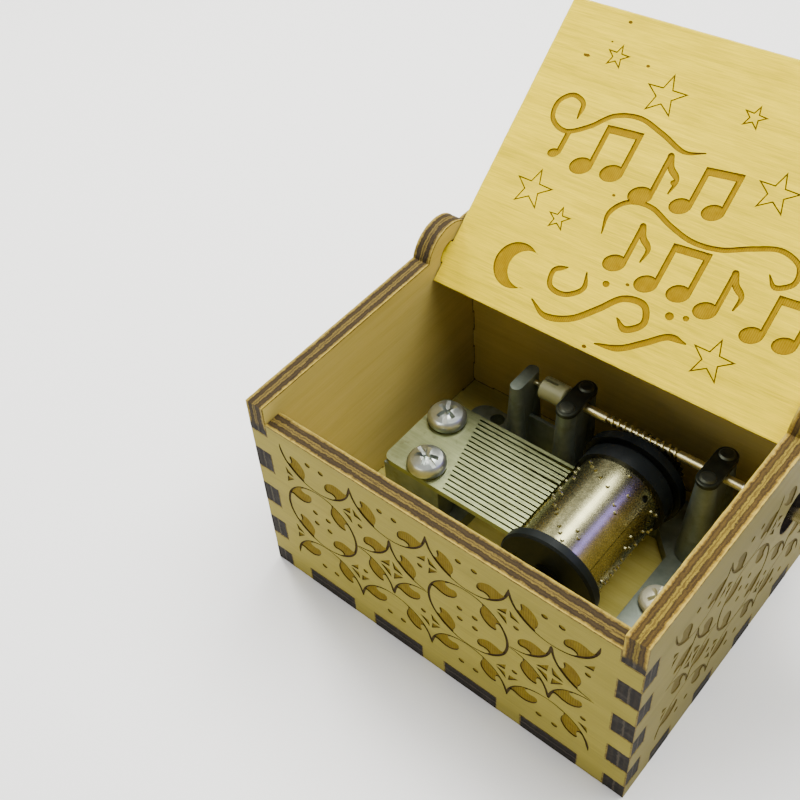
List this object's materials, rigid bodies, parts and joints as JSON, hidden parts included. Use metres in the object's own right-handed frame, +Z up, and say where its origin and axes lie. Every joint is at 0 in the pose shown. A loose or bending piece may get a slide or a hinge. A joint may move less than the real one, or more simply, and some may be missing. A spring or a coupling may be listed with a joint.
{
  "type": "hand-cranked music box",
  "caption": "Small finger-jointed plywood box with a hinged lid, a side crank and a pinned cylinder that plucks a steel comb through a worm drive.",
  "frame": {"origin": "centre of the case's flat bottom face", "axes": "+Z up, +X to the crank side, +Y to the hinged side (back)"},
  "size_m": [0.0851, 0.0771, 0.0655],
  "materials": {
    "ply_front": "laser-cut birch plywood, pale face, charred cut edges, engraved scrollwork",
    "ply_back": "laser-cut birch plywood, pale face, charred cut edges",
    "ply_left": "laser-cut birch plywood, pale face, charred cut edges, engraved scrollwork",
    "ply_right": "laser-cut birch plywood, pale face, charred cut edges, engraved scrollwork",
    "ply_floor": "laser-cut birch plywood, charred cut edges",
    "ply_lid": "laser-cut birch plywood, bright yellow face, lines engraved on both faces",
    "zinc_base": "dull grey die-cast zinc",
    "comb_steel": "ground grey spring steel",
    "screw_zinc": "bright zinc-plated screws",
    "base_screw": "nickel-plated screws",
    "nickel_sleeve": "rolled nickel-plated sheet with raised dots",
    "cap_black": "black moulded plastic",
    "wheel_black": "black moulded plastic",
    "arbor_steel": "bright steel rod",
    "worm_steel": "nickel-plated steel shaft with a cut worm",
    "collar_white": "off-white nylon",
    "cap_dark": "dark grey pressed plate",
    "rivet_dark": "dark grey rivet heads",
    "crank_nickel": "bent nickel-plated wire",
    "knob_brown": "olive-brown turned knob",
    "rivet_nickel": "nickel-plated stop rivet"
  },
  "bodies": {
    "case": {"front_wall": "ply_front", "back_wall": "ply_back", "left_side": "ply_left", "right_side": "ply_right", "floor_panel": "ply_floor", "movement_base": "zinc_base", "comb": "comb_steel", "comb_screws": "screw_zinc", "base_screws": "base_screw", "bearing_cap_left": "cap_dark", "bearing_cap_right": "cap_dark", "cap_rivets": "rivet_dark"},
    "lid": {"lid": "ply_lid"},
    "crank": {"worm_shaft": "worm_steel", "shaft_collar": "collar_white", "crank_wire": "crank_nickel", "knob_rivet": "rivet_nickel"},
    "cylinder": {"cylinder_sleeve": "nickel_sleeve", "cylinder_cap": "cap_black", "drive_wheel": "wheel_black", "cylinder_arbor": "arbor_steel"},
    "knob": {"crank_knob": "knob_brown"}
  },
  "joints": [
    {"name": "lid_hinge", "type": "hinge", "parent": "case", "child": "lid", "pos_m": [0, 0.0172, 0.0364], "axis": [1, 0, 0], "range_deg": [0, 139.75]},
    {"name": "crank_turn", "type": "hinge", "parent": "case", "child": "crank", "pos_m": [0, 0.0134, 0.022], "axis": [1, 0, 0], "continuous": true},
    {"name": "cylinder_turn", "type": "hinge", "parent": "case", "child": "cylinder", "pos_m": [0.0096, 0, 0.0156], "axis": [0, 1, 0], "continuous": true},
    {"name": "knob_spin", "type": "hinge", "parent": "crank", "child": "knob", "pos_m": [0.0467, 0.00247, 0.02736], "axis": [1, 0, 0], "continuous": true}
  ],
  "couplings": [
    {"joint": "cylinder_turn", "follows": "crank_turn", "ratio": -0.028571}
  ]
}
